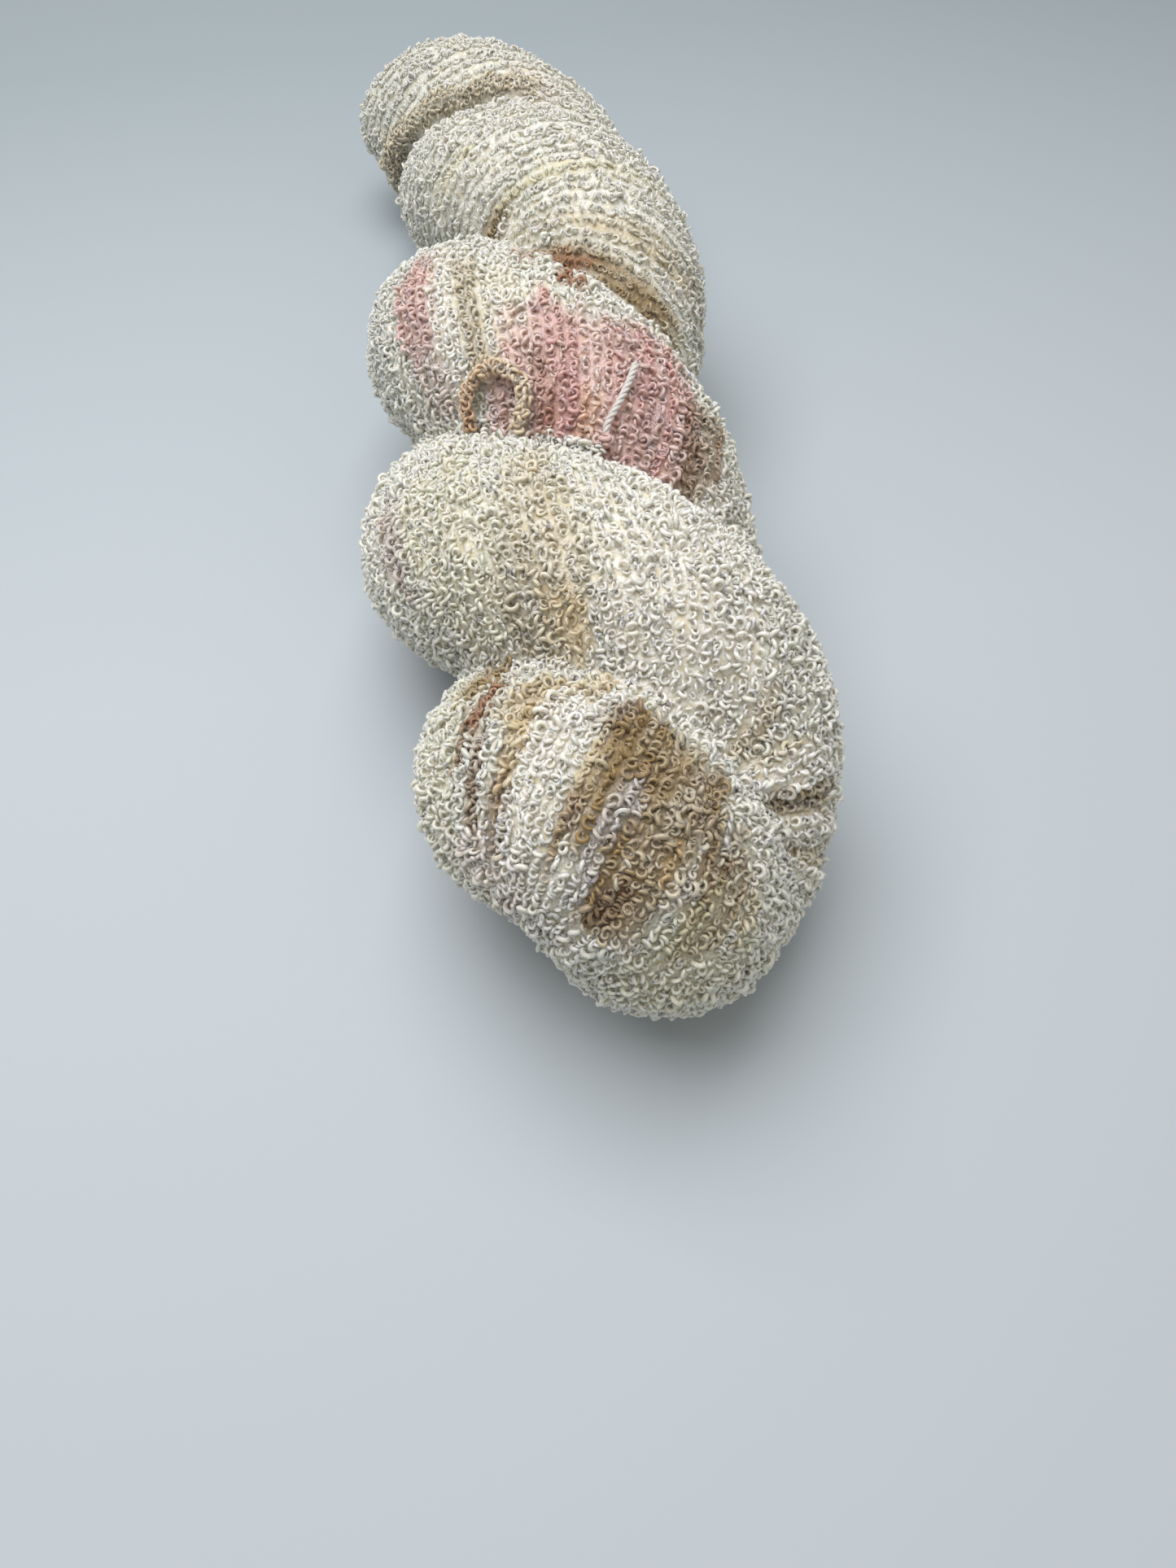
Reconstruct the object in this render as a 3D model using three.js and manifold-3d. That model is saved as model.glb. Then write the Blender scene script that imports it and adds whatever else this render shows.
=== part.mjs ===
// A twisted hank of boucle yarn, lying on a flat surface.
// One thick bundle of yarn is folded at the near tip, and its two halves, the plies, are twisted round each
// other like a two-strand rope. At the far end one ply comes over the other and ends in a round knob, with
// a strand of the yarn wound through the crease below it. The end of the cotton tie and a loop of the yarn's
// own end come out of the groove between two lobes.
// Millimetres, +Z up. The hank lies along Y with its folded tip towards -Y, and rests on z = 0.

import * as THREE from "three";
import { mergeVertices } from "three/addons/utils/BufferGeometryUtils.js";
import Module from "manifold-3d";

const wasm = await Module();
wasm.setup();

// One row for each half turn of the plies, from the folded tip to the far end.
// along: where a ply crosses over the top; side: the rope's middle, right of the line along Y;
// spread: from the rope's middle to a ply's centre line; thick: a ply's radius; squat: how flat the rope lies.
const halfTurns = [
  { along: 33, side: 0, spread: 17.5, thick: 22.5, squat: 0.98 },
  { along: 87, side: 0.5, spread: 17.8, thick: 24, squat: 0.94 },
  { along: 153, side: -4.5, spread: 18, thick: 24.5, squat: 0.93 },
  { along: 226, side: 13, spread: 16, thick: 22.5, squat: 0.92 },
  { along: 298, side: 2, spread: 13, thick: 17.5, squat: 0.95 },
  { along: 318, side: -14, spread: 14, thick: 15, squat: 0.95 },
];
const foldAt = 0.35; // where the fold at the tip begins, in half turns
const foldReach = 0.5; // how far the fold takes up each ply, in half turns
const knobAt = 4.4; // where the ply with the knob ends, in half turns
const tailAt = 3.95; // where the other ply ends, hidden under the knob, in half turns
const restDepth = 4.5; // how much of each lobe's underside is pressed flat
const foldHeart = 14; // radius of the yarn packed inside the fold
const plyJoin = 0.8; // how far past the rope's middle each ply reaches, so that the two join
const foldCore = 0.98; // the same in the fold, as a share of the spread, so that its inner side stays open

const sectionSides = 28;
const stepsPerHalfTurn = 16;
const capSteps = 6;
const unwindPerHalfTurn = 135; // turns the sections back, in degrees, so that their corners run straight on

// The strands' routes, in the finished part's own frame. Each row is x, y, z.
const collar = {
  radius: 3,
  route: [
    [21, 105, 42], [15.5, 109, 51.5], [4.5, 111, 52.5], [-2, 113, 49.8], [-9, 116.5, 46], [-15.5, 120, 40.5],
    [-21, 123.5, 35.5], [-25.5, 126, 28.5], [-25.5, 128, 20], [-18, 130, 10],
  ],
};
const tieEnd = {
  radius: 0.75,
  route: [
    [-6.5, -47.3, 65], [-3, -49.7, 65], [0.5, -52.3, 65], [3.6, -53.6, 65.3], [5.6, -52.6, 67],
    [6.6, -50.6, 68.8], [8.9, -48.1, 70.6], [11.8, -44.2, 72.2], [14.4, -39.8, 73.6],
  ],
};
const yarnLoop = {
  radius: 1.3,
  route: [
    [-19.2, -39.1, 61], [-19.9, -36.6, 64.4], [-18.3, -34, 69], [-13.8, -34.3, 72.6],
    [-9.2, -38, 72.4], [-8.7, -42.6, 69.2], [-11.2, -45.4, 65],
  ],
};

const degrees = Math.PI / 180;

// A column of the table between its rows, on one smooth curve.
function size(column, turn) {
  const last = halfTurns.length - 1;
  const row = Math.min(Math.max(Math.floor(turn), 0), last - 1);
  const share = turn - row;
  const value = (index) => {
    if (index < 0) return 2 * halfTurns[0][column] - halfTurns[1][column];
    if (index > last) return 2 * halfTurns[last][column] - halfTurns[last - 1][column];
    return halfTurns[index][column];
  };
  const [before, from, to, after] = [row - 1, row, row + 1, row + 2].map(value);
  const slopeFrom = (to - before) / 2;
  const slopeTo = (after - from) / 2;
  const square = share * share;
  const cube = square * share;
  return (2 * cube - 3 * square + 1) * from + (cube - 2 * square + share) * slopeFrom
    + (3 * square - 2 * cube) * to + (cube - square) * slopeTo;
}

// The middle of the rope. Each lobe on the underside reaches restDepth below the surface that it lies on.
function ropeMiddle(turn) {
  const height = size("spread", turn) * size("squat", turn) + size("thick", turn) - restDepth;
  return new THREE.Vector3(size("side", turn), size("along", turn), height);
}

// The direction from the rope's middle to the ply that is on top at every even half turn.
function plyDirection(turn) {
  const angle = (90 + 180 * turn) * degrees;
  return new THREE.Vector3(Math.cos(angle), 0, Math.sin(angle) * size("squat", turn));
}

// place runs along the whole bundle, in half turns: 0 in the middle of the fold, positive on the ply that is
// on top at even half turns, negative on the other one. The answer is a point of the bundle's centre line and
// the point that it bends round.
function centreLine(place) {
  const distance = Math.abs(place);
  const side = place < 0 ? -1 : 1;
  if (distance >= foldReach) {
    const turn = foldAt + distance - foldReach;
    const middle = ropeMiddle(turn);
    const reach = plyDirection(turn).multiplyScalar(side * size("spread", turn));
    return { point: middle.clone().add(reach), pivot: middle };
  }
  const turn = foldAt - foldReach / 2 + distance ** 2 / (2 * foldReach);
  const swing = ((distance / foldReach) * Math.PI) / 2;
  const pivot = ropeMiddle(foldAt);
  const spread = size("spread", foldAt);
  const point = pivot.clone()
    .add(plyDirection(turn).multiplyScalar(side * spread * Math.sin(swing)))
    .add(new THREE.Vector3(0, -spread * Math.cos(swing), 0));
  return { point, pivot };
}

function turnOf(place) {
  return Math.max(foldAt + Math.abs(place) - foldReach, foldAt);
}

// The bundle's own axes at a place: along it, outward from what it bends round, and across.
function bundleFrame(place) {
  const nudge = 0.01;
  const { point, pivot } = centreLine(place);
  const ahead = centreLine(place + nudge).point;
  const along = ahead.sub(centreLine(place - nudge).point).normalize();
  const across = new THREE.Vector3().crossVectors(along, point.clone().sub(pivot)).normalize();
  const outward = new THREE.Vector3().crossVectors(across, along);
  return { point, along, outward, across };
}

// A point on the bundle's skin. shrink narrows it towards a rounded end, and beyond is how far past the end.
// Towards the rope's middle the section is cut off flat.
function skinPoint(place, corner, shrink, beyond) {
  const { point, along, outward, across } = bundleFrame(place);
  const unwound = Math.sign(place) * Math.max(Math.abs(place) - foldReach, 0);
  const angle = corner + unwindPerHalfTurn * degrees * unwound;
  const radius = size("thick", turnOf(place)) * shrink;
  const spread = size("spread", turnOf(place));
  const inner = Math.abs(place) < foldReach ? foldCore * spread : spread + plyJoin;
  const out = Math.max(radius * Math.cos(angle), -inner);
  return point.clone()
    .addScaledVector(outward, out)
    .addScaledVector(across, radius * Math.sin(angle))
    .addScaledVector(along, beyond);
}

// A capsule bent along the bundle between two places, as a closed geometry.
function bentCapsule(from, to) {
  const steps = Math.round(Math.abs(to - from) * stepsPerHalfTurn);
  const capsule = new THREE.CapsuleGeometry(1, steps, capSteps, sectionSides, steps);
  const position = capsule.getAttribute("position");
  const vertex = new THREE.Vector3();
  const way = Math.sign(to - from);
  for (let i = 0; i < position.count; i++) {
    vertex.fromBufferAttribute(position, i);
    const middle = Math.min(Math.max(vertex.y, -steps / 2), steps / 2);
    const place = from + ((middle + steps / 2) / steps) * (to - from);
    const shrink = Math.hypot(vertex.x, vertex.z);
    const corner = Math.atan2(vertex.x, vertex.z) * way;
    const beyond = (vertex.y - middle) * size("thick", turnOf(place)) * way;
    const point = skinPoint(place, corner, shrink, beyond);
    position.setXYZ(i, point.x, point.y, point.z);
  }
  return capsule;
}

// A round strand along a route, with a step every two diameters unless the call says otherwise.
function strand({ radius, route }, stepLength = 4 * radius) {
  const points = route.map((point) => new THREE.Vector3(...point));
  const path = new THREE.CatmullRomCurve3(points, false, "centripetal");
  const section = new THREE.Shape();
  section.absarc(0, 0, radius, 0, 2 * Math.PI, false);
  const steps = Math.ceil(path.getLength() / stepLength);
  return new THREE.ExtrudeGeometry(section, { extrudePath: path, steps, curveSegments: 4 });
}

function solidOf(geometry) {
  const bare = geometry.clone();
  bare.deleteAttribute("normal");
  bare.deleteAttribute("uv");
  const merged = mergeVertices(bare, 1e-3);
  return new wasm.Manifold(new wasm.Mesh({
    numProp: 3,
    vertProperties: merged.getAttribute("position").array,
    triVerts: new Uint32Array(merged.index.array),
  }));
}

function geometryOf(solid) {
  const { vertProperties, triVerts, numProp } = solid.getMesh();
  const geometry = new THREE.BufferGeometry();
  geometry.setAttribute("position", new THREE.BufferAttribute(vertProperties, numProp));
  geometry.setIndex(new THREE.BufferAttribute(triVerts, 1));
  geometry.computeVertexNormals();
  return geometry;
}

// Where a ply's place is, counted from the fold, for a half turn that it has reached.
function placeOf(turn) {
  return turn - foldAt + foldReach;
}

// The two plies and the fold as one solid, pressed flat underneath, its middle on x = 0 and y = 0.
function hankSolid() {
  const withKnob = solidOf(bentCapsule(0, placeOf(knobAt)));
  const other = solidOf(bentCapsule(0, -placeOf(tailAt)));
  const { x, y, z } = ropeMiddle(foldAt);
  const heart = solidOf(new THREE.SphereGeometry(foldHeart, 16, 12).translate(x, y, z));
  const far = halfTurns.at(-1).along;
  const surface = solidOf(new THREE.BoxGeometry(far, 3 * far, far).translate(0, 0, -far / 2));
  const plies = withKnob.add(other).add(heart).subtract(surface);
  const [whole] = plies.decompose().sort((a, b) => b.volume() - a.volume());
  const { min, max } = whole.boundingBox();
  const centred = whole.translate(-(min[0] + max[0]) / 2, -(min[1] + max[1]) / 2, 0);
  return centred.add(solidOf(strand(collar, collar.radius)));
}

const yarn = new THREE.MeshStandardMaterial({ color: 0xd9cfc0, roughness: 0.7, metalness: 0 });
const tanYarn = new THREE.MeshStandardMaterial({ color: 0xb89b78, roughness: 0.7, metalness: 0 });
const cotton = new THREE.MeshStandardMaterial({ color: 0xf1eee8, roughness: 0.8, metalness: 0 });

const part = new THREE.Group();

function addNode(name, geometry, material) {
  const node = new THREE.Mesh(geometry, material);
  node.name = name;
  part.add(node);
}

addNode("hank", geometryOf(hankSolid()), yarn);
addNode("tie_end", geometryOf(solidOf(strand(tieEnd))), cotton);
addNode("yarn_loop", geometryOf(solidOf(strand(yarnLoop))), tanYarn);

export default part;
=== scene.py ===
import math

import bpy
import numpy as np
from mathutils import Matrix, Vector
from mathutils.bvhtree import BVHTree
from mathutils.kdtree import KDTree


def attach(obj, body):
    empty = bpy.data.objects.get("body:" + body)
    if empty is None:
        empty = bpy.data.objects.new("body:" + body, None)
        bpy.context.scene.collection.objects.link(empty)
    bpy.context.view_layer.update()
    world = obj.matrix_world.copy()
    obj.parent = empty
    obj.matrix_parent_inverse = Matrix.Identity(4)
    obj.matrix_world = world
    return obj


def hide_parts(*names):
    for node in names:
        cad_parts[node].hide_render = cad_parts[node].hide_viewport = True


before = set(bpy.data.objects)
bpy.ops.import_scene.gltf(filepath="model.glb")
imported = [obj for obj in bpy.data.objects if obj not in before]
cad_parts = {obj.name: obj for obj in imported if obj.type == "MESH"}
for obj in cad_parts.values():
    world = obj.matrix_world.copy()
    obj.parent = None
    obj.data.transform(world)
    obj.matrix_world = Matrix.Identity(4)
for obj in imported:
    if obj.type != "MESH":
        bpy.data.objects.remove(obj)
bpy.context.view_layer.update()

# A twisted hank of boucle yarn. The CAD solid gives its lobes. Here it gets the yarn: a soft wound body,
# thousands of small curls that stand out of it along the strands, and the dye in patches along them.
# Sizes are in millimetres and are turned to metres where a mesh or curve is made.

mm = 0.001
chance = np.random.default_rng(11)


def linear(hexColour):  # an sRGB hex colour as Blender's linear one
    parts = [int(hexColour[i:i + 2], 16) / 255 for i in (1, 3, 5)]
    return [c / 12.92 if c <= 0.04045 else ((c + 0.055) / 1.055) ** 2.4 for c in parts] + [1.0]


def addNode(tree, kind, values=None, links=None, **settings):
    node = tree.nodes.new(kind)
    for name, value in settings.items():
        setattr(node, name, value)
    for name, value in (values or {}).items():
        node.inputs[name].default_value = value
    for name, socket in (links or {}).items():
        tree.links.new(socket, node.inputs[name])
    return node


def newMaterial(name):
    material = bpy.data.materials.new(name)
    material.use_nodes = True
    material.node_tree.nodes.clear()
    return material, material.node_tree


def deselectAll():
    bpy.ops.object.select_all(action="DESELECT")


def switchTo(mode):
    bpy.ops.object.mode_set(mode=mode)


def unit(vectors):
    return vectors / np.maximum(np.linalg.norm(vectors, axis=-1, keepdims=True), 1e-9)


# The photo's camera: its place and its lens in mm, its angles in degrees.
cameraView = {"place": (-30.0, -230.6, 225.0), "tilt": 32.6, "turn": -10.3, "lens": 27.04}

deselectAll()
bpy.ops.object.camera_add(
    location=[c * mm for c in cameraView["place"]],
    rotation=(math.radians(cameraView["tilt"]), 0, math.radians(cameraView["turn"])),
)
camera = bpy.context.object
camera.name = "camera"
camera.data.lens = cameraView["lens"]
camera.data.sensor_width = 36
camera.data.clip_start, camera.data.clip_end = 0.005, 20
bpy.context.scene.camera = camera
eye = np.array(cameraView["place"])
print("camera is up")


def smoothRoute(route, count):  # evenly spaced points on a centripetal Catmull-Rom curve
    points = np.array(route, float)
    points = np.vstack([2 * points[0] - points[1], points, 2 * points[-1] - points[-2]])
    fine = []
    for before, start, end, after in zip(points, points[1:], points[2:], points[3:]):
        pairs = ((before, start), (start, end), (end, after))
        a, b, c = (max(np.linalg.norm(q - p), 1e-4) ** 0.5 for p, q in pairs)
        leave = ((start - before) / a - (end - before) / (a + b) + (end - start) / b) * b
        arrive = ((end - start) / b - (after - start) / (b + c) + (after - end) / c) * b
        t = np.linspace(0, 1, 40, endpoint=False)[:, None]
        fine.append((2 * t**3 - 3 * t**2 + 1) * start + (t**3 - 2 * t**2 + t) * leave
                    + (3 * t**2 - 2 * t**3) * end + (t**3 - t**2) * arrive)
    fine = np.vstack(fine + [points[-2][None]])
    far = np.concatenate([[0], np.cumsum(np.linalg.norm(np.diff(fine, axis=0), axis=1))])
    even = np.linspace(0, far[-1], count)
    return np.stack([np.interp(even, far, fine[:, i]) for i in range(3)], axis=1)


def carriedAxes(line):  # two axes across a line that turn with it and never flip
    along = unit(np.gradient(line, axis=0))
    side = np.cross(along[0], (0.3, 0.2, 1.0))  # any direction does that isn't the line's own
    sides = []
    for direction in along:
        side = unit(side - direction * np.dot(side, direction))
        sides.append(side)
    sides = np.array(sides)
    return along, sides, np.cross(along, sides)


def tube(line, radius, sides=8):  # a closed round tube along a line: points, corners, starts and UVs
    _, side, up = carriedAxes(line)
    around = np.arange(sides) * 2 * math.pi / sides
    radius = np.broadcast_to(np.asarray(radius, float), (len(line),))[:, None, None]
    ring = side[:, None] * np.cos(around)[None, :, None] + up[:, None] * np.sin(around)[None, :, None]
    points = (line[:, None] + ring * radius).reshape(-1, 3)
    faces, uvs = [], []
    far = np.concatenate([[0], np.cumsum(np.linalg.norm(np.diff(line, axis=0), axis=1))])
    for i in range(len(line) - 1):
        for j in range(sides):
            k = (j + 1) % sides
            faces.append((i * sides + j, i * sides + k, (i + 1) * sides + k, (i + 1) * sides + j))
            uvs += [(far[i], j / sides), (far[i], (j + 1) / sides),
                    (far[i + 1], (j + 1) / sides), (far[i + 1], j / sides)]
    last = (len(line) - 1) * sides
    faces.append(tuple(range(sides - 1, -1, -1)))
    faces.append(tuple(range(last, last + sides)))
    uvs += [(0, 0)] * sides + [(far[-1], 0)] * sides
    corners = np.array([v for face in faces for v in face])
    starts = np.cumsum([0] + [len(face) for face in faces[:-1]])
    return points, corners, starts, np.array(uvs)


def joined(parts):
    # Several meshes as one. Each is its points in mm, its faces' corners as point numbers, where in them each
    # face starts, and a UV for each corner.
    points, corners, starts, uvs = zip(*parts)
    pointsBefore = np.cumsum([0] + [len(p) for p in points[:-1]])
    cornersBefore = np.cumsum([0] + [len(c) for c in corners[:-1]])
    return (np.vstack(points),
            np.concatenate([c + before for c, before in zip(corners, pointsBefore)]),
            np.concatenate([s + before for s, before in zip(starts, cornersBefore)]),
            np.vstack(uvs))


def giveDyeAndShade(mesh, colours):
    # the dye colours here also carry the painted shade and light of some patches and of the curls' low sides
    layer = mesh.color_attributes.new("dye", "FLOAT_COLOR", "POINT")
    layer.data.foreach_set("color", colours.astype(np.float32).ravel())


def meshPiece(name, points, corners, starts, uvs, material, colours=None):
    mesh = bpy.data.meshes.new(name)
    mesh.vertices.add(len(points))
    mesh.vertices.foreach_set("co", (points * mm).astype(np.float32).ravel())
    mesh.loops.add(len(corners))
    mesh.loops.foreach_set("vertex_index", corners.astype(np.int32))
    mesh.polygons.add(len(starts))
    mesh.polygons.foreach_set("loop_start", starts.astype(np.int32))
    mesh.polygons.foreach_set("use_smooth", np.ones(len(starts), bool))
    mesh.update(calc_edges=True)
    mesh.uv_layers.new(name="alongThread").data.foreach_set("uv", uvs.astype(np.float32).ravel())
    if colours is not None:
        giveDyeAndShade(mesh, colours)
    mesh.validate()
    piece = bpy.data.objects.new(name, mesh)
    bpy.context.collection.objects.link(piece)
    mesh.materials.append(material)
    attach(piece, "root")
    return piece


# One curl of the yarn's effect thread, as an open ring of unit radius: its steps, how many are left open, the
# thread's radius, how far it rises in a turn, how oval it is, how far it flares, and its share of all.
curlKinds = {
    "ring": {"steps": 10, "open": 1, "thick": 0.48, "rise": 0.35, "oval": 0.92, "flare": 0.0, "share": 0.4},
    "oval": {"steps": 10, "open": 1, "thick": 0.48, "rise": 0.55, "oval": 0.72, "flare": 0.1, "share": 0.24},
    "hook": {"steps": 12, "open": 4, "thick": 0.48, "rise": 0.3, "oval": 0.95, "flare": 0.25, "share": 0.1},
    "coil": {"steps": 10, "open": 1, "thick": 0.45, "rise": 1.3, "oval": 0.88, "flare": -0.2, "share": 0.16},
    "bow": {"steps": 12, "open": 5, "thick": 0.5, "rise": 0.6, "oval": 0.8, "flare": 0.15, "share": 0.1},
}
curlMake = {
    "sides": 4, "plainSides": 3,  # of the thread
    "plainSteps": 0.65,  # the share of its steps that a plain curl keeps
    "uvTurn": 6.3,  # how far the UVs run in one turn, in the curl's radii
}


def modelCurl(kind, sides, detail=1.0):
    steps, gap = round(kind["steps"] * detail), max(1, round(kind["open"] * detail))
    deselectAll()
    bpy.ops.mesh.primitive_torus_add(
        major_segments=steps, minor_segments=sides, major_radius=1, minor_radius=kind["thick"])
    ring = bpy.context.object
    switchTo("EDIT")
    bpy.ops.mesh.select_all(action="DESELECT")
    switchTo("OBJECT")
    step = 2 * math.pi / steps
    for face in ring.data.polygons:  # the open part starts at the +X axis
        turn = math.atan2(face.center.y, face.center.x) % (2 * math.pi)
        face.select = turn < gap * step
    switchTo("EDIT")
    bpy.ops.mesh.delete(type="FACE")
    bpy.ops.mesh.select_all(action="SELECT")
    bpy.ops.mesh.fill_holes(sides=sides)
    bpy.ops.mesh.select_all(action="SELECT")
    bpy.ops.mesh.normals_make_consistent(inside=False)
    switchTo("OBJECT")
    mesh = ring.data
    points = np.array([v.co for v in mesh.vertices])
    corners = np.array([loop.vertex_index for loop in mesh.loops])
    starts = np.array([face.loop_start for face in mesh.polygons])
    uvs = np.array([corner.uv for corner in mesh.uv_layers.active.data])
    turn = np.arctan2(points[:, 1], points[:, 0]) % (2 * math.pi) / (2 * math.pi)
    points[:, :2] *= (1 + kind["flare"] * (turn - 0.5))[:, None]
    points[:, 1] *= kind["oval"]
    points[:, 2] += kind["rise"] * (turn - 0.5)
    bpy.data.objects.remove(ring)
    bpy.data.meshes.remove(mesh)
    return {"points": points, "corners": corners, "starts": starts, "uvs": uvs * (curlMake["uvTurn"], 1.0)}


curlModels = [modelCurl(kind, curlMake["sides"]) for kind in curlKinds.values()]
# plain ones for the far and the hidden sides
plainModels = [modelCurl(kind, curlMake["plainSides"], curlMake["plainSteps"]) for kind in curlKinds.values()]
curlShares = [kind["share"] for kind in curlKinds.values()]
print("curls are modelled:", ", ".join(curlKinds))


def placeCurls(centres, along, outward, radii, tilts, models):
    # Turns one copy of a curl into each place. A tilt of 0 lays its ring flat on the surface, and one of half
    # pi stands it up. Gives the joined mesh, and for each point the curl that it is on.
    count = len(centres)
    kinds = chance.choice(len(models), count, p=curlShares)
    heading = chance.uniform(0, 2 * math.pi, count)
    cross = np.cross(outward, along)
    lean = along * np.cos(heading)[:, None] + cross * np.sin(heading)[:, None]
    axis = unit(outward * np.cos(tilts)[:, None] + lean * np.sin(tilts)[:, None])
    inward = unit(-outward - axis * np.sum(-outward * axis, axis=1, keepdims=True) + lean * 1e-4)
    # its open part lies about inwards, or anywhere on a curl that lies flat
    wander = chance.uniform(-0.9, 0.9, count) + (tilts < 0.5) * chance.uniform(-3, 3, count)
    first = inward * np.cos(wander)[:, None] + np.cross(axis, inward) * np.sin(wander)[:, None]
    second = np.cross(axis, first)
    parts, owner = [], []
    for k, model in enumerate(models):
        mine = np.flatnonzero(kinds == k)
        shape = model["points"]
        placed = (shape[None, :, 0:1] * first[mine, None] + shape[None, :, 1:2] * second[mine, None]
                  + shape[None, :, 2:3] * axis[mine, None]) * radii[mine, None, None] + centres[mine, None]
        copies = np.arange(len(mine))[:, None]
        parts.append((placed.reshape(-1, 3),
                      (model["corners"][None] + copies * len(shape)).ravel(),
                      (model["starts"][None] + copies * len(model["corners"])).ravel(),
                      np.tile(model["uvs"], (len(mine), 1))))
        owner.append(np.repeat(mine, len(shape)))
    return joined(parts), np.concatenate(owner)


def silkyThread(name, colour=None, rough=0.4, fuzz=0.25):
    # Viscose thread: long smooth fibres laid side by side, so each curl has a soft bright streak along it.
    material, tree = newMaterial(name)
    at = addNode(tree, "ShaderNodeUVMap", uv_map="alongThread")
    # Fibres are 0.02 mm. Drawn at about 0.15 mm, leaning round the thread, so that they show up close.
    lie = addNode(tree, "ShaderNodeMapping", {"Scale": (2.2, 7.0, 1.0), "Rotation": (0, 0, 0.35)},
                  {"Vector": at.outputs["UV"]})
    fibres = addNode(tree, "ShaderNodeTexNoise", {"Scale": 1.0, "Detail": 3.0, "Roughness": 0.6},
                     {"Vector": lie.outputs["Vector"]})
    shade = addNode(tree, "ShaderNodeValToRGB", links={"Fac": fibres.outputs["Fac"]})
    dark, light = shade.color_ramp.elements
    dark.position, dark.color = 0.3, (0.78, 0.76, 0.72, 1)
    light.position, light.color = 0.62, (1, 1, 1, 1)
    mix = addNode(tree, "ShaderNodeMix", {"Factor": 1.0}, data_type="RGBA", blend_type="MULTIPLY")
    if colour is None:
        dyed = addNode(tree, "ShaderNodeAttribute", attribute_name="dye")
        tree.links.new(dyed.outputs["Color"], mix.inputs["A"])
    else:
        mix.inputs["A"].default_value = linear(colour)
    tree.links.new(shade.outputs["Color"], mix.inputs["B"])
    bump = addNode(tree, "ShaderNodeBump", {"Strength": 0.35, "Distance": 0.00006},
                   {"Height": fibres.outputs["Fac"]})
    surface = addNode(tree, "ShaderNodeBsdfPrincipled",
                      {"Roughness": rough, "IOR": 1.5, "Sheen Weight": fuzz, "Sheen Roughness": 0.4,
                       "Subsurface Weight": 0.8, "Subsurface Radius": (1.0, 0.95, 0.75),
                       "Subsurface Scale": 0.0014},
                      {"Base Color": mix.outputs["Result"], "Normal": bump.outputs["Normal"]})
    addNode(tree, "ShaderNodeOutputMaterial", links={"Surface": surface.outputs["BSDF"]})
    return material


def woundCore(name):
    # The mass of thread between and under the curls: matt, in the same dyes, with painted shade that makes it
    # darker and warmer in its hollows.
    material, tree = newMaterial(name)
    at = addNode(tree, "ShaderNodeTexCoord")
    # Curls that lie flat: each cell is 1.7 mm wide, with a ring of thread 0.5 mm thick round its middle.
    height = None
    for scale, shift in ((590.0, 0.0), (640.0, 0.37)):
        moved = addNode(tree, "ShaderNodeMapping", {"Location": (shift, shift * 2, shift)},
                        {"Vector": at.outputs["Object"]})
        cells = addNode(tree, "ShaderNodeTexVoronoi", {"Scale": scale}, {"Vector": moved.outputs["Vector"]})
        ring = addNode(tree, "ShaderNodeValToRGB", links={"Fac": cells.outputs["Distance"]})
        ramp = ring.color_ramp
        ramp.interpolation = "EASE"
        middle, top = ramp.elements
        middle.position, middle.color = 0.12, (0.1, 0.1, 0.1, 1)
        top.position, top.color = 0.36, (1, 1, 1, 1)
        ramp.elements.new(0.62).color = (0, 0, 0, 1)
        if height is None:
            height = ring.outputs["Color"]
        else:
            most = addNode(tree, "ShaderNodeMath", links={0: height, 1: ring.outputs["Color"]},
                           operation="MAXIMUM")
            height = most.outputs["Value"]
    # painted shade: the dye is darker and warmer away from the flat rings, in the hollows between them
    shade = addNode(tree, "ShaderNodeValToRGB", links={"Fac": height})
    dark, light = shade.color_ramp.elements
    dark.position, dark.color = 0.0, (0.86, 0.81, 0.69, 1)
    light.position, light.color = 0.75, (1, 1, 1, 1)
    dyed = addNode(tree, "ShaderNodeAttribute", attribute_name="dye")
    mix = addNode(tree, "ShaderNodeMix", {"Factor": 1.0}, data_type="RGBA", blend_type="MULTIPLY")
    tree.links.new(dyed.outputs["Color"], mix.inputs["A"])
    tree.links.new(shade.outputs["Color"], mix.inputs["B"])
    bump = addNode(tree, "ShaderNodeBump", {"Strength": 0.8, "Distance": 0.00035}, {"Height": height})
    surface = addNode(tree, "ShaderNodeBsdfPrincipled",
                      {"Roughness": 0.55, "IOR": 1.45, "Sheen Weight": 0.2, "Subsurface Weight": 0.8,
                       "Subsurface Radius": (1.0, 0.95, 0.75), "Subsurface Scale": 0.0012},
                      {"Base Color": mix.outputs["Result"], "Normal": bump.outputs["Normal"]})
    addNode(tree, "ShaderNodeOutputMaterial", links={"Surface": surface.outputs["BSDF"]})
    return material


viscose = silkyThread("viscose boucle thread, dyed")
cottonThread = silkyThread("mercerised cotton thread", "#d9d1cc", rough=0.6, fuzz=0.3)
core = woundCore("wound boucle core")


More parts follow.
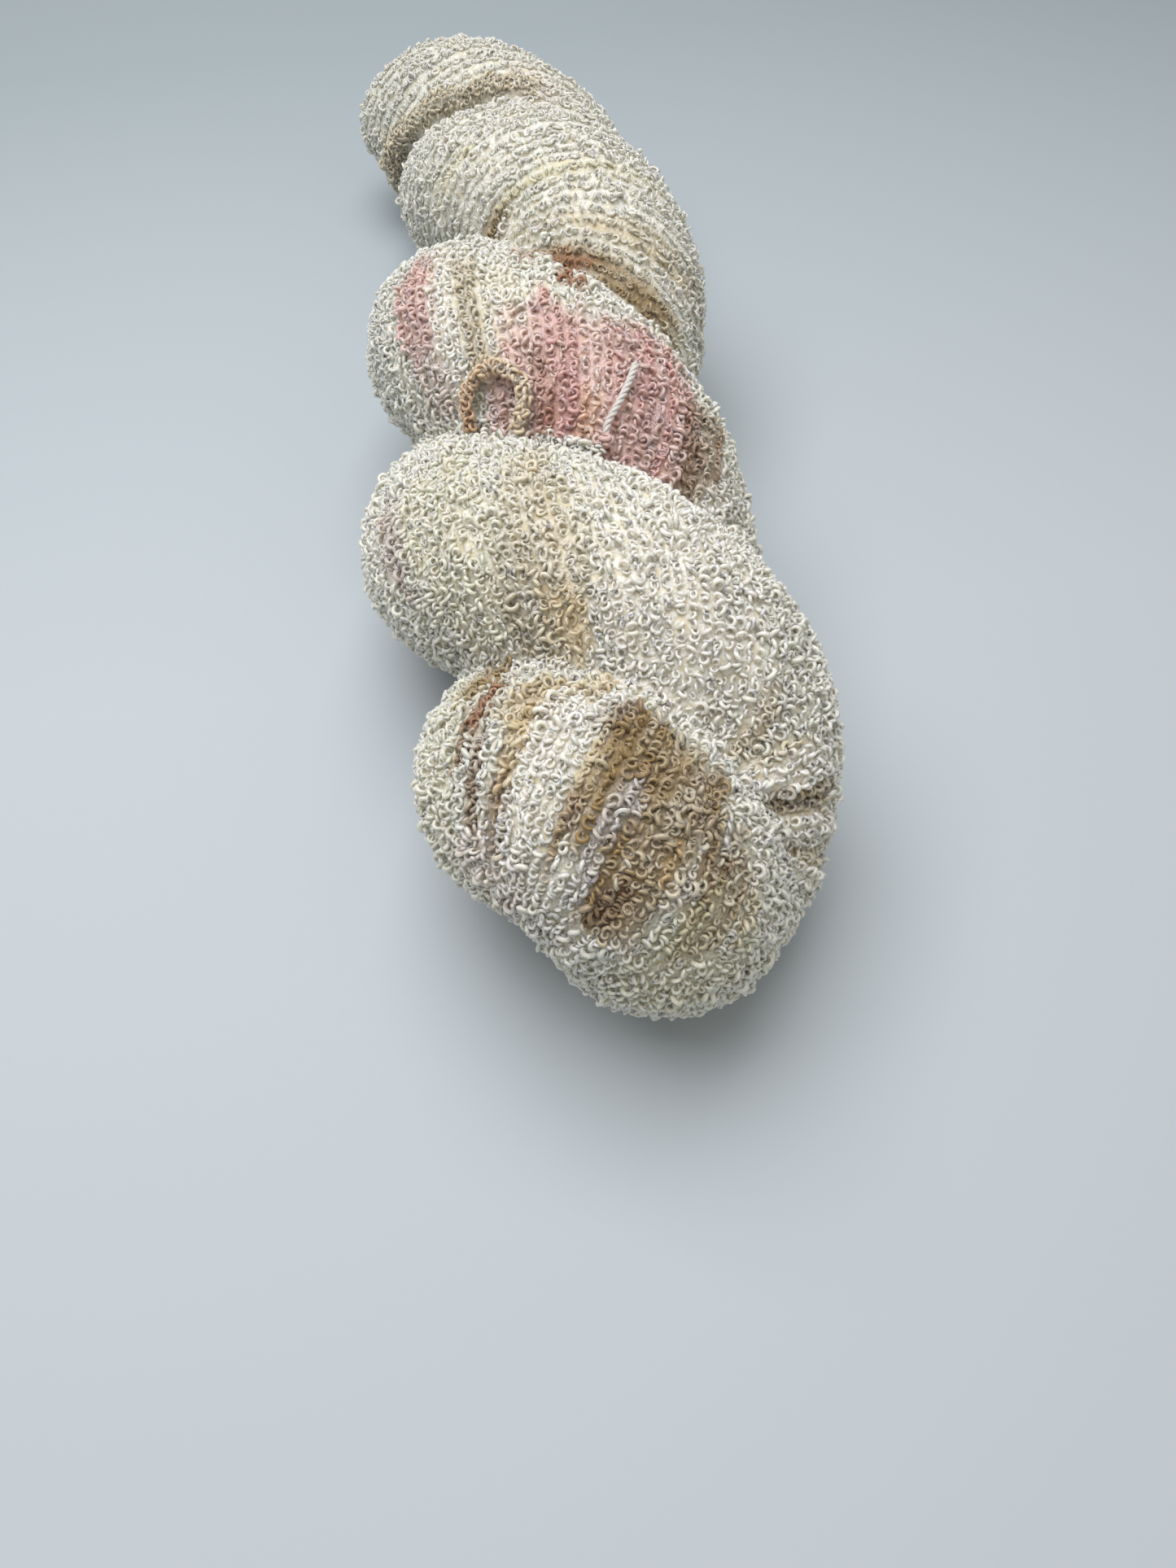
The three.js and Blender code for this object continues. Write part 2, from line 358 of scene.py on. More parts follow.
tieEnd = {
    "diameter": 1.5, "strands": 3, "pitch": 4.2,  # mm
    "strandRadius": 0.28, "strandPlace": 0.24,  # of one strand, as shares of the diameter
    "tip": 0.8, "tipThick": 0.7,  # mm of the cut end, and how thin it gets
    "steps": 90, "pathPoints": 30,
    "route": [
        (-6.5, -47.3, 65), (-3, -49.7, 65), (0.5, -52.3, 65), (3.6, -53.6, 65.3), (5.6, -52.6, 67),
        (6.6, -50.6, 68.8), (8.9, -48.1, 70.6), (11.8, -44.2, 72.2), (14.4, -39.8, 73.6),
    ],
}
yarnLoop = {
    "diameter": 2.6, "core": 0.6, "coreSides": 6,  # core is its radius, in mm
    "steps": 70, "pathPoints": 34,
    "curls": 105, "curlRadius": 0.84, "curlSizes": (0.8, 1.15),
    "curlDepth": 0.5,  # mm from the yarn's outside to the curls' centres
    "curlTurn": 2.4, "curlTilts": (0.3, 1.5),  # radians from curl to curl round the yarn, and off its skin
    "firstFoot": "#c4a083", "lastFoot": "#e0ccb3", "footReach": 1.4,
    "route": [
        (-19.2, -39.1, 61), (-19.9, -36.6, 64.4), (-18.3, -34, 69), (-13.8, -34.3, 72.6),
        (-9.2, -38, 72.4), (-8.7, -42.6, 69.2), (-11.2, -45.4, 65),
    ],
}


def routeLength(points):
    return float(np.linalg.norm(np.diff(points, axis=0), axis=1).sum())


def layTieEnd(values):
    path = smoothRoute(values["route"], values["pathPoints"])
    line = smoothRoute(values["route"], values["steps"])
    _, side, up = carriedAxes(line)
    far = np.linspace(0, routeLength(line), len(line))
    parts = []
    for strand in range(values["strands"]):
        turn = 2 * math.pi * (far / values["pitch"] + strand / values["strands"])
        offset = side * np.cos(turn)[:, None] + up * np.sin(turn)[:, None]
        thick = np.interp(far, [far[-1] - values["tip"], far[-1]], [1, values["tipThick"]])
        parts.append(tube(line + offset * values["diameter"] * values["strandPlace"],
                          values["diameter"] * values["strandRadius"] * thick))
    piece = meshPiece("cottonTieEnd", *joined(parts), cottonThread)
    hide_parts("tie_end")


def layYarnLoop(values):
    path = smoothRoute(values["route"], values["pathPoints"])
    line = smoothRoute(values["route"], values["steps"])
    along, side, up = carriedAxes(line)
    at = np.linspace(1.5, len(line) - 2.5, values["curls"])
    at = np.clip(at + chance.uniform(-0.5, 0.5, len(at)), 0, len(line) - 1)
    whole = at.astype(int)
    turn = np.arange(len(at)) * values["curlTurn"] + chance.uniform(-0.6, 0.6, len(at))
    outward = side[whole] * np.cos(turn)[:, None] + up[whole] * np.sin(turn)[:, None]
    radii = values["curlRadius"] * chance.uniform(*values["curlSizes"], len(at))
    tilts = chance.uniform(*values["curlTilts"], len(at))
    centres = line[whole] + outward * (values["diameter"] * 0.5 - values["curlDepth"])
    loopCore = tube(line, values["core"], values["coreSides"])
    loopCurls, owner = placeCurls(centres, along[whole], outward, radii, tilts, curlModels)
    # brown at the foot that comes up first, and cream before it gets to the other
    coreShare = np.repeat(np.linspace(0, 1, len(line)), values["coreSides"])
    share = np.concatenate([coreShare, (whole / (len(line) - 1))[owner]])
    brown, cream = np.array(linear(values["firstFoot"])), np.array(linear(values["lastFoot"]))
    colours = brown + (cream - brown) * np.clip(share * values["footReach"], 0, 1)[:, None]
    piece = meshPiece("looseYarnLoop", *joined([loopCore, loopCurls]), viscose, colours)
    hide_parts("yarn_loop")


layTieEnd(tieEnd)
layYarnLoop(yarnLoop)
print("cords are laid")


# One row for each half turn, from the folded tip: where a ply crosses over the top, the rope's middle to
# the side, from the middle to a ply's centre line, a ply's radius, and how flat the rope lies.
plies = {
    "along": [33, 87, 153, 226, 298, 318],
    "side": [0, 0.5, -4.5, 13, 2, -14],
    "spread": [17.5, 17.8, 18, 16, 13, 14],
    "thick": [22.5, 24, 24.5, 22.5, 17.5, 15],
    "squat": [0.98, 0.94, 0.93, 0.92, 0.95, 0.95],
    "foldAt": 0.35, "foldReach": 0.5, "knobAt": 4.4, "tailAt": 3.95, "restDepth": 4.5,
    "shift": (-0.4, -168.385, 0),  # from the table's zero to the part's middle
    "placeLength": 86,  # mm of a ply's centre line in one half turn
}
collar = {  # the strand below the knob
    "radius": 3, "steps": 260, "every": 4,  # the steps along it, and from one ring of curls to the next
    "around": 9, "twist": 0.3,  # curls in a ring, and radians in a step
    "dye": "#d9cdb6", "brightness": (0.85, 1.05), "away": 1.1, "facing": 0.3,  # the last two as in skinLimits
    "route": [
        (21, 105, 42), (15.5, 109, 51.5), (4.5, 111, 52.5), (-2, 113, 49.8), (-9, 116.5, 46),
        (-15.5, 120, 40.5), (-21, 123.5, 35.5), (-25.5, 126, 28.5), (-25.5, 128, 20), (-18, 130, 10),
    ],
}
# How the strands run on a ply: rows round it, and how many degrees they turn in one half turn of the rope, at
# places along the bundle. In the fold at the tip they run almost straight round it, so they turn fast there.
yarnLay = {
    "rows": 96, "rowGap": 2.0,  # the rows round a ply, and mm between those of them that curls stand on
    "skips": [1, 2, 3, 4, 6, 8, 12, 16, 24, 32],  # of rows, from one with curls to the next
    "widest": 1.6,  # how much further apart the rows with curls get where the curls do
    "pastEnds": (0.3, 0.27),  # how far the rows go on over the ends of the plies, in half turns
    "stagger": 0.35, "sway": 0.012,  # along a row, in gaps from curl to curl, and across it, in radians
    "turns": [
        (-4.8, -300), (-2.4, -300), (-2.0, 420), (-0.76, 420), (-0.66, 1500), (-0.6, 2800), (-0.5, 2600),
        (-0.4, 1400), (0.0, 800), (0.17, 900), (0.28, 1650), (0.34, 1900), (0.4, 1600), (0.47, 900),
        (0.62, 600), (0.75, 420), (2.6, 420), (3.2, -100), (5.0, -100),
    ],
}


def size(column, turn):
    rows = np.array(plies[column], float)
    padded = np.concatenate([[2 * rows[0] - rows[1]], rows, [2 * rows[-1] - rows[-2]]])
    row = np.clip(np.floor(turn).astype(int), 0, len(rows) - 2)
    t = turn - row
    before, start, end, after = (padded[row + k] for k in range(4))
    leave, arrive = (end - before) / 2, (after - start) / 2
    return ((2 * t**3 - 3 * t**2 + 1) * start + (t**3 - 2 * t**2 + t) * leave
            + (3 * t**2 - 2 * t**3) * end + (t**3 - t**2) * arrive)


def ropeMiddle(turn):
    height = size("spread", turn) * size("squat", turn) + size("thick", turn) - plies["restDepth"]
    return np.stack([size("side", turn), size("along", turn), height], axis=-1)


def plyDirection(turn):
    angle = math.pi * (0.5 + turn)
    return np.stack([np.cos(angle), 0 * angle, np.sin(angle) * size("squat", turn)], axis=-1)


def turnOf(place):
    return np.maximum(plies["foldAt"] + np.abs(place) - plies["foldReach"], plies["foldAt"])


def placeOf(turn):  # where a ply has reached a half turn, counted from the fold
    return turn - plies["foldAt"] + plies["foldReach"]


def centreLine(place):
    foldAt, foldReach = plies["foldAt"], plies["foldReach"]
    distance, sign = np.abs(place), np.where(place < 0, -1.0, 1.0)
    turn = foldAt + distance - foldReach
    straight = ropeMiddle(turn) + plyDirection(turn) * (sign * size("spread", turn))[..., None]
    bent = foldAt - foldReach / 2 + distance**2 / (2 * foldReach)
    swing = distance / foldReach * math.pi / 2
    spread = size("spread", np.full_like(distance, foldAt))
    pivot = ropeMiddle(np.full_like(distance, foldAt))
    fold = pivot + plyDirection(bent) * (sign * spread * np.sin(swing))[..., None]
    fold[..., 1] -= spread * np.cos(swing)
    inFold = (distance < foldReach)[..., None]
    return np.where(inFold, fold, straight), np.where(inFold, pivot, ropeMiddle(turn))


def skin(place, angle):
    # A point on a ply's skin, its normal, and the direction along the ply. Past a ply's end it goes on over
    # the round end.
    last = placeOf(np.where(place < 0, plies["tailAt"], plies["knobAt"]))
    held = np.clip(place, -last, last)
    over = (np.abs(place) - np.abs(held)) * plies["placeLength"]
    point, pivot = centreLine(held)
    along = unit(centreLine(held + 0.01)[0] - centreLine(held - 0.01)[0])
    across = unit(np.cross(along, point - pivot))
    outward = np.cross(across, along)
    thick = size("thick", turnOf(held))
    bend = np.minimum(over / thick, math.pi / 2)
    normal = outward * np.cos(angle)[..., None] + across * np.sin(angle)[..., None]
    way = along * np.where(place < 0, -1.0, 1.0)[..., None]
    normal = normal * np.cos(bend)[..., None] + way * np.sin(bend)[..., None]
    return point + normal * thick[..., None] + np.array(plies["shift"]), normal, along


layStep = 0.005
layPlaces = np.arange(yarnLay["turns"][0][0], yarnLay["turns"][-1][0], layStep)
layTurns = np.cumsum(np.interp(layPlaces, *np.array(yarnLay["turns"], float).T)) * layStep
layTurns -= np.interp(0, layPlaces, layTurns)


def layAngle(place):  # how far a strand has turned round the ply at a place, in radians
    return np.radians(np.interp(place, layPlaces, layTurns))


body = {
    "voxel": 1.6, "inset": 0.8, "relief": 0.5,  # mm
    "smoothing": 9,  # rounds
    # Groups of strands that stand higher or lower, on the plies and in the fold: how many round the ply, how
    # high, how far they drift in one half turn and where they start, both in radians.
    "plyWaves": [(3, 0.3, 2.2, 0.5), (5, 0.4, -1.6, 2.1), (8, 0.6, 1.2, 4.0)],
    "foldWaves": [(1, 0.3, 3.0, 0.0), (2, 0.55, -2.0, 1.2), (3, 0.35, 5.0, 3.0)],
    "foldEnds": 0.62, "foldBlend": 0.03,  # the place where the one kind turns to the other, and how fast
    "pleats": 1.4, "pleatsAt": (-0.58, 81),  # how high in mm, and the place and angle of their middle
    "pleatReach": 17, "pleatRound": 24, "pleatTurn": 1.3,  # mm, mm for each radian, and waves in a turn
    "crease": 1.0, "creaseWidth": 3,  # how deep the narrow brown streaks lie, and how wide they are at most
    "flatBelow": 3,  # mm above the surface from where the relief is whole
    "nearStops": 5, "blend": 0.4,  # the stops that give a point its relief and dye, and how softly
}

deselectAll()
woundBody = bpy.data.objects.new("woundBody", bpy.data.objects["hank"].data.copy())
bpy.context.collection.objects.link(woundBody)
woundBody.select_set(True)
bpy.context.view_layer.objects.active = woundBody
switchTo("EDIT")
bpy.ops.mesh.select_all(action="SELECT")
bpy.ops.mesh.remove_doubles(threshold=0.00001)
switchTo("OBJECT")
remesh = woundBody.modifiers.new("even mesh", "REMESH")
remesh.mode, remesh.voxel_size = "VOXEL", body["voxel"] * mm
bpy.ops.object.modifier_apply(modifier=remesh.name)
soften = woundBody.modifiers.new("soft lobes", "SMOOTH")
soften.factor, soften.iterations = 0.5, body["smoothing"]
bpy.ops.object.modifier_apply(modifier=soften.name)
bodyMesh = woundBody.data
bodyPoints = np.empty(len(bodyMesh.vertices) * 3, np.float32)
bodyMesh.vertices.foreach_get("co", bodyPoints)
bodyPoints = bodyPoints.reshape(-1, 3).astype(float) / mm
bodyNormals = np.array([v.normal for v in bodyMesh.vertices])
bodyFaces = [tuple(face.vertices) for face in bodyMesh.polygons]
softSkin = BVHTree.FromPolygons([tuple(p) for p in bodyPoints], bodyFaces)
print("body has", len(bodyPoints), "points")


curlField = {
    "near": 0.9, "far": 1.5, "side": 2.3, "below": 3.2,  # mm from curl to curl along a row
    "distances": (200, 390),  # mm from the camera to the near and the far ones
    "facing": (-0.25, 0.05),  # cosines to the camera, from where the side's gap is whole to where it ends
    "lowest": 3,  # mm, under which the gap is the one below
    "least": 0.66,  # mm between curls of different rows, where rows crowd together
    "apart": 0.62, "fill": 1.5,  # the shares of the gap that curls keep clear on the rows and between them
    "plain": 1.15,  # mm from curl to curl from which the plainer curls do
    "radius": 0.72, "radiusSpread": 0.2, "radiusEnds": (0.55, 1.1),  # mm, and how it varies
    "wideGaps": (1.0, 2.6), "wideSizes": (1, 1.4),  # curls further apart are larger
    "tilts": [12, 35, 55, 75, 88], "tiltShares": [0.2, 0.25, 0.25, 0.18, 0.12], "tiltSpread": 10,  # degrees
    "flatGaps": (1.05, 1.5), "flatTilts": (1.0, 0.65),  # and flatter, so that the far lobes look smoother
    "lift": 0.12, "liftSpread": (-0.05, 0.35), "tiltLift": 0.45,  # mm, mm and a share of the radius
    "brightness": (0.89, 1.05), "hueSpread": 0.01,
    "paintedWarmShade": (0.93, 0.88, 0.79),  # painted shade: darker and warmer low on a curl, for the shade there and the light off the yarn beside it
    "shadeDepths": (-1.1, 0.5),  # where that shade is whole and where it ends, in the curl's radii
    "squeezed": 0.4, "clear": 0.08,  # mm above the surface, from where curls get flatter, and at least
    "pieceSize": 170000,  # triangles in one piece, at most
}
# How far from the soft skin a stop may be, in mm, and how much it faces the same way.
skinLimits = {"away": 1.5, "awayBelow": 2, "facing": 0.2}


def stepAt(points, normals):
    # The lobes by the camera are closely set. The far ones, the sides and the underside get by with fewer.
    away = eye - points
    distance = np.linalg.norm(away, axis=1)
    step = np.interp(distance, curlField["distances"], [curlField["near"], curlField["far"]])
    facing = np.sum(unit(away) * normals, axis=1)
    step = np.maximum(step, np.interp(facing, curlField["facing"], [curlField["side"], 0]))
    return np.where(points[:, 2] < curlField["lowest"], curlField["below"], step)


def strandPoints():
    # The stops for curls along every row: place, row, whether the row is one that curls stand on there,
    # angle, point, outward and along directions. The rows between only help to fill holes.
    pastTail, pastKnob = yarnLay["pastEnds"]
    fine = np.arange(-placeOf(plies["tailAt"]) - pastTail, placeOf(plies["knobAt"]) + pastKnob, 0.003)
    skips = np.array(yarnLay["skips"])
    found = []
    for row in range(yarnLay["rows"]):
        phase = 2 * math.pi * row / yarnLay["rows"]
        points, normals, _ = skin(fine, phase + layAngle(fine))
        steps = stepAt(points, normals)
        pieces = np.linalg.norm(np.diff(points, axis=0), axis=1) / steps[1:]
        far = np.concatenate([[0], np.cumsum(pieces)])
        stops = np.arange(chance.uniform(0, 1), far[-1], 1.0)
        stops = stops + chance.uniform(-yarnLay["stagger"], yarnLay["stagger"], len(stops))
        places = np.interp(stops, far, fine)
        beside = skin(fine, phase + 2 * math.pi / yarnLay["rows"] + layAngle(fine))[0] - points
        run = unit(np.gradient(points, axis=0))
        gap = np.linalg.norm(np.cross(beside, run), axis=1)
        wanted = yarnLay["rowGap"] * np.clip(steps / curlField["near"], 1, yarnLay["widest"])
        wanted = wanted / np.maximum(gap, 0.03)
        every = skips[np.argmin(np.abs(np.log(wanted[:, None] / skips)), axis=1)]
        chosen = row % every[np.searchsorted(fine, places).clip(0, len(fine) - 1)] == 0
        found.append(np.stack([places, np.full(len(places), row), chosen], axis=1)[chosen | (row % 2 == 0)])
    found = np.vstack(found)
    place, row, chosen = found[:, 0], found[:, 1].astype(int), found[:, 2] > 0
    phase = 2 * math.pi * row / yarnLay["rows"] + chance.normal(0, yarnLay["sway"], len(row))
    angle = phase + layAngle(place)
    points, normals, _ = skin(place, angle)
    ahead = skin(place + 0.004, phase + layAngle(place + 0.004))[0]
    return place, row, chosen, angle, points, normals, unit(ahead - points)


place, row, chosen, angle, points, normals, heading = strandPoints()
points[:, 2] = np.maximum(points[:, 2], 0.0)  # the undersides are pressed flat on the surface
shown = np.zeros(len(points), bool)
for i, point in enumerate(points):
    _, normal, _, distance = softSkin.find_nearest(Vector(point))
    onSkin = distance < skinLimits["away"] and np.dot(normal, normals[i]) > skinLimits["facing"]
    shown[i] = onSkin or (point[2] == 0 and distance < skinLimits["awayBelow"])
place, row, chosen, angle = place[shown], row[shown], chosen[shown], angle[shown]
points, normals, heading = points[shown], normals[shown], heading[shown]
print("strands have", len(points), "stops on the skin")


palette = {
    "base": "#e7e6dc", "white": "#f3f0e7", "cream": "#ebe7da", "olive": "#dfdaba", "tan": "#cdb78f",
    "khaki": "#967d52", "brown": "#7d5a34", "rust": "#93603c", "amber": "#c9a668", "peach": "#dcb99a",
    "blush": "#e8d0ca", "pink": "#dbb2b0", "rose": "#d3a2a2", "mauve": "#bfa9a8", "grey": "#cdd0cd",
    "lavender": "#d5d1d1",
}
# Each patch: place and angle on a ply, in half turns and degrees, half its length along the strands and half
# its width across them in mm, its dye, and how strong it took. Positive places are the ply with the knob.
# a few of these patches are partly painted light and shade, as said beside them
dyeAndShadePatches = [
    # the near lobe, from its left end to its right
    # the olive at 0.07 is painted warm shade on the near lobe's low side, where the yarn is white
    (0.56, 21, 25, 11, "olive", 0.3), (0.38, -33, 10, 8, "blush", 0.4), (0.07, 12, 16, 12, "olive", 0.4),
    (0.23, -24, 12, 8, "white", 0.6), (0.43, 54, 9, 6, "tan", 0.85), (0.45, 63, 5, 3, "khaki", 0.45),
    (0.6, 70, 9, 4.5, "khaki", 1.0), (0.495, 27, 9, 2.0, "brown", 0.9),
    (0.5, 48, 8, 4, "khaki", 0.6), (0.505, 45, 6, 3.0, "rust", 1.0), (0.44, 8, 11, 1.7, "brown", 0.85),
    (0.395, 2, 9, 2.6, "brown", 1.0),
    (0.41, 18, 5, 1.3, "peach", 0.6), (0.38, 27, 26, 4.6, "white", 0.95), (0.415, 34, 9, 2.4, "tan", 0.9),
    (0.41, 84, 6, 3, "tan", 0.7),
    (0.3, 63, 11, 7.5, "khaki", 1.0), (0.34, 66, 6, 3, "brown", 0.55), (0.3, 39, 12, 5, "khaki", 0.95),
    (0.32, 21, 12, 1.8, "tan", 0.7), (0.31, 9, 9, 1.3, "brown", 0.6), (0.23, 48, 13, 8, "khaki", 0.85),
    (0.2, 42, 12, 4, "khaki", 0.5), (0.28, 39, 6, 2.6, "lavender", 0.8),
    (0.27, 9, 7, 2.4, "lavender", 0.6), (0.28, 24, 5, 1.6, "lavender", 0.6),
    (0.255, 18, 8, 1.9, "khaki", 1.0), (0.21, 3, 8, 5.5, "khaki", 1.0), (0.21, -3, 5, 2.6, "brown", 0.8),
    (0.2, 30, 4, 2, "amber", 0.6), (0.15, 36, 6, 3, "khaki", 0.7), (0.15, 36, 4, 2, "amber", 0.4),
    (0.18, 30, 8, 1.8, "white", 0.7),
    (0.13, 39, 14, 4.5, "khaki", 0.65), (0.08, 45, 9, 1.6, "tan", 0.4), (0.12, 18, 10, 2.5, "olive", 0.6),
    # the second lobe
    (-1.51, 0, 14, 4, "mauve", 0.55),
    (-1.35, 18, 25, 12, "olive", 0.3), (-1.21, 12, 24, 7, "tan", 0.4), (-1.17, 57, 14, 6, "khaki", 0.3),
    (-1.09, 66, 9, 5, "tan", 0.6), (-1.17, 66, 8, 2.8, "khaki", 0.25), (-0.96, 42, 36, 15, "white", 0.6),
    # between -0.74 and -0.45, on the pleats, the white on the ridges and the tan and khaki in the creases are
    # partly dye and partly painted light and shade
    (-1.15, 6, 20, 4, "cream", 0.5), (-0.74, 75, 9, 1.8, "peach", 0.2), (-0.71, 87, 9, 1.6, "tan", 0.4),
    (0.22, 78, 6, 2.4, "khaki", 0.8), (-0.68, 78, 9, 1.4, "tan", 0.4), (-0.63, 75, 13, 3.2, "white", 1.0),
    (-0.58, 81, 14, 3.0, "khaki", 0.75), (-0.52, 87, 13, 3.0, "white", 1.0),
    (-0.45, 81, 12, 1.5, "tan", 0.5),
    # the third lobe, with the pink
    (2.38, -33, 26, 5, "grey", 0.6), (2.3, -12, 16, 7, "pink", 0.8), (2.19, -57, 12, 6, "mauve", 0.55),
    (2.12, -30, 15, 7, "cream", 0.9), (2.0, -48, 18, 8, "rose", 0.85), (1.85, -51, 24, 15, "rose", 0.85),
    (1.93, -45, 18, 1.5, "blush", 0.7), (1.8, -60, 14, 2.5, "mauve", 0.5),
    (2.19, -19, 19, 3.2, "khaki", 0.6), (2.21, -27, 22, 3.4, "white", 0.9),
    (1.99, -27, 15, 1.6, "blush", 0.8),
    (1.89, -69, 8, 3, "peach", 0.55), (2.02, -51, 4, 2.5, "rust", 0.6), (2.03, -69, 8, 5, "pink", 0.75),
    (2.06, -46, 9, 4, "blush", 0.7),
    (1.94, -78, 5, 3, "rust", 0.6),
    (1.75, -39, 13, 6, "brown", 0.8), (1.7, -66, 10, 3, "brown", 0.45), (1.61, -54, 12, 4, "grey", 0.5),
    # the rust at 2.13 lies just under the fourth lobe's edge: partly dye and partly painted shade of the
    # crease there
    (1.67, -36, 16, 4, "cream", 0.8), (2.24, 45, 8, 3, "rust", 0.6), (2.13, 29, 6, 3, "rust", 0.9),
    # the fourth lobe and the knob
    # the khaki at -2.68 and -2.78 and the rust at -2.77, along the crease by the third lobe, are partly dye
    # and partly painted shade of that crease
    (-2.68, 81, 16, 3.5, "khaki", 0.8), (-2.78, 99, 14, 3, "khaki", 0.9),
    (-2.77, 109, 9, 3.2, "rust", 1.0), (-3.13, 90, 13, 3, "khaki", 0.9), (-2.77, 57, 18, 1.8, "tan", 0.6),
    (-2.85, 66, 22, 1.4, "tan", 0.5), (-3.01, 45, 24, 1.6, "olive", 0.6), (-2.62, 75, 14, 3, "khaki", 0.8),
    (-3.32, 30, 14, 3, "olive", 0.5), (-2.73, 27, 14, 3, "khaki", 0.4),
    (3.9, -48, 9, 6, "blush", 0.3), (4.48, -27, 9, 6, "grey", 0.45), (4.28, -12, 9, 5, "grey", 0.25),
]
farSide = {  # splashes of the same dyes where the camera doesn't look
    "patches": 130, "away": -0.15, "places": (-4, 4.7),
    "least": [7, 2, 0.4], "most": [22, 9, 0.9],  # half the length, half the width, and the strength
    "dyes": ["tan", "khaki", "brown", "rose", "pink", "olive", "grey", "peach", "white", "white", "amber"],
}
# How each strand and each curl took the dye: how much further along, in mm, and how strongly.
dyeSpread = {"rowShift": 3, "rowTake": (0.7, 1.1), "curlShift": 0.5, "curlTake": (0.8, 1.1)}
rowShift = chance.uniform(-dyeSpread["rowShift"], dyeSpread["rowShift"], yarnLay["rows"])
rowTake = chance.uniform(*dyeSpread["rowTake"], yarnLay["rows"])


def splashes():
    found = []
    first, last = farSide["places"]
    while len(found) < farSide["patches"]:
        at = chance.uniform([first, 0], [last, 2 * math.pi])
        point, normal, _ = skin(at[0:1], at[1:2])
        along, wide, strength = chance.uniform(farSide["least"], farSide["most"])
        dye = farSide["dyes"][chance.integers(len(farSide["dyes"]))]
        if np.dot(unit(eye - point[0]), normal[0]) < farSide["away"]:
            found.append((at[0], math.degrees(at[1]), along, wide, dye, strength))
    return found


def patchShare(patch, place, angle, shift=0.0):  # how far a place is inside a patch, from 0 to 1
    middle, turn, half, wide = patch[:4]
    spot, turn = np.array([middle]), math.radians(turn)
    here = skin(spot, np.array([turn]))[0][0]
    perPlace = (skin(spot + 0.002, np.array([turn]))[0][0] - here) / 0.002
    perTurn = (skin(spot, np.array([turn + 0.01]))[0][0] - here) / 0.01
    rate = (layAngle(middle + 0.002) - layAngle(middle - 0.002)) / 0.004
    run = unit(perPlace + perTurn * rate)
    forward = place - middle
    around = (angle - turn + math.pi) % (2 * math.pi) - math.pi
    alongRow = forward * (perPlace @ run) + around * (perTurn @ run)
    acrossRow = (around - layAngle(place) + layAngle(middle)) * np.linalg.norm(np.cross(perTurn, run))
    reach = np.hypot((alongRow + shift) / half, acrossRow / wide)
    # it fades from 0.8 to 1.2 of its size, and isn't on the next lobe too
    share = np.clip((1.2 - reach) / 0.4, 0, 1) * (np.abs(forward) < 0.45)
    return share * share * (3 - 2 * share)


def dyeAndShadeAt(place, angle, row):
    colours = np.tile(np.array(linear(palette["base"])[:3]), (len(place), 1))
    where, normals, _ = skin(place, angle)
    unseen = np.clip(-np.sum(unit(eye - where) * normals, axis=1) / 0.25, 0, 1)
    took = rowTake[row] * chance.uniform(*dyeSpread["curlTake"], len(place))
    shift = rowShift[row] + chance.normal(0, dyeSpread["curlShift"], len(place))
    for number, patch in enumerate(farSplashes + dyeAndShadePatches):
        share = np.clip(patchShare(patch, place, angle, shift) * patch[5] * took, 0, 1)
        if number < len(farSplashes):
            share = share * unseen
        colours += (np.array(linear(palette[patch[4]])[:3]) - colours) * share[:, None]
    return colours


farSplashes = splashes()
stopColours = dyeAndShadeAt(place, angle, row)
print("dye is laid:", len(dyeAndShadePatches), "patches and", len(farSplashes), "splashes")


def waves(groups, phase, place):
    return sum(high * np.sin(count * phase + drift * place + start) for count, high, drift, start in groups)


def reliefAt(place, angle):
    # Groups of strands stand a little higher or lower, and gather to pleats where the lobe bends sharply.
    phase = angle - layAngle(place)
    inFold = 1 / (1 + np.exp((np.abs(place) - body["foldEnds"]) / body["foldBlend"]))
    onPly, onFold = waves(body["plyWaves"], phase, place), waves(body["foldWaves"], phase, place)
    middle, turn = body["pleatsAt"]
    around = (angle - math.radians(turn) + math.pi) % (2 * math.pi) - math.pi
    away = np.hypot((place - middle) * plies["placeLength"], around * body["pleatRound"])
    across = around - layAngle(place) + layAngle(middle)
    pleat = -np.cos(body["pleatTurn"] * across) * np.exp(-(away / body["pleatReach"]) ** 2)
    crease = np.zeros(len(place))
    for patch in dyeAndShadePatches:
        if patch[4] in ("brown", "rust") and patch[3] < body["creaseWidth"]:
            crease = np.maximum(crease, patchShare(patch, place, angle))
    height = body["relief"] * (onPly * (1 - inFold) + onFold * inFold) + body["pleats"] * pleat
    return height - body["crease"] * crease


stopRelief = reliefAt(place, angle)
near = KDTree(len(points))
for i, point in enumerate(points):
    near.insert(point, i)
near.balance()
bodyRelief = np.empty(len(bodyPoints))
bodyColours = np.ones((len(bodyPoints), 4))
for i, point in enumerate(bodyPoints):
    found = near.find_n(point, body["nearStops"])
    ids = [f[1] for f in found]
    weights = np.array([1 / (f[2] ** 2 + body["blend"]) for f in found])
    weights /= weights.sum()
    bodyRelief[i] = weights @ stopRelief[ids]
    bodyColours[i, :3] = weights @ stopColours[ids]
lowSide = np.clip(1 - bodyPoints[:, 2] / body["flatBelow"], 0, 1)  # no relief where it lies on the surface
bodyPoints += bodyNormals * (bodyRelief * (1 - lowSide) - body["inset"])[:, None]
bodyMesh.vertices.foreach_set("co", (bodyPoints * mm).astype(np.float32).ravel())
giveDyeAndShade(bodyMesh, bodyColours)
bodyMesh.materials.clear()
bodyMesh.materials.append(core)
bodyMesh.update()
bpy.ops.object.shade_smooth()
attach(woundBody, "root")
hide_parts("hank")
laidSkin = BVHTree.FromPolygons([tuple(p) for p in bodyPoints], bodyFaces)
print("body is dressed")


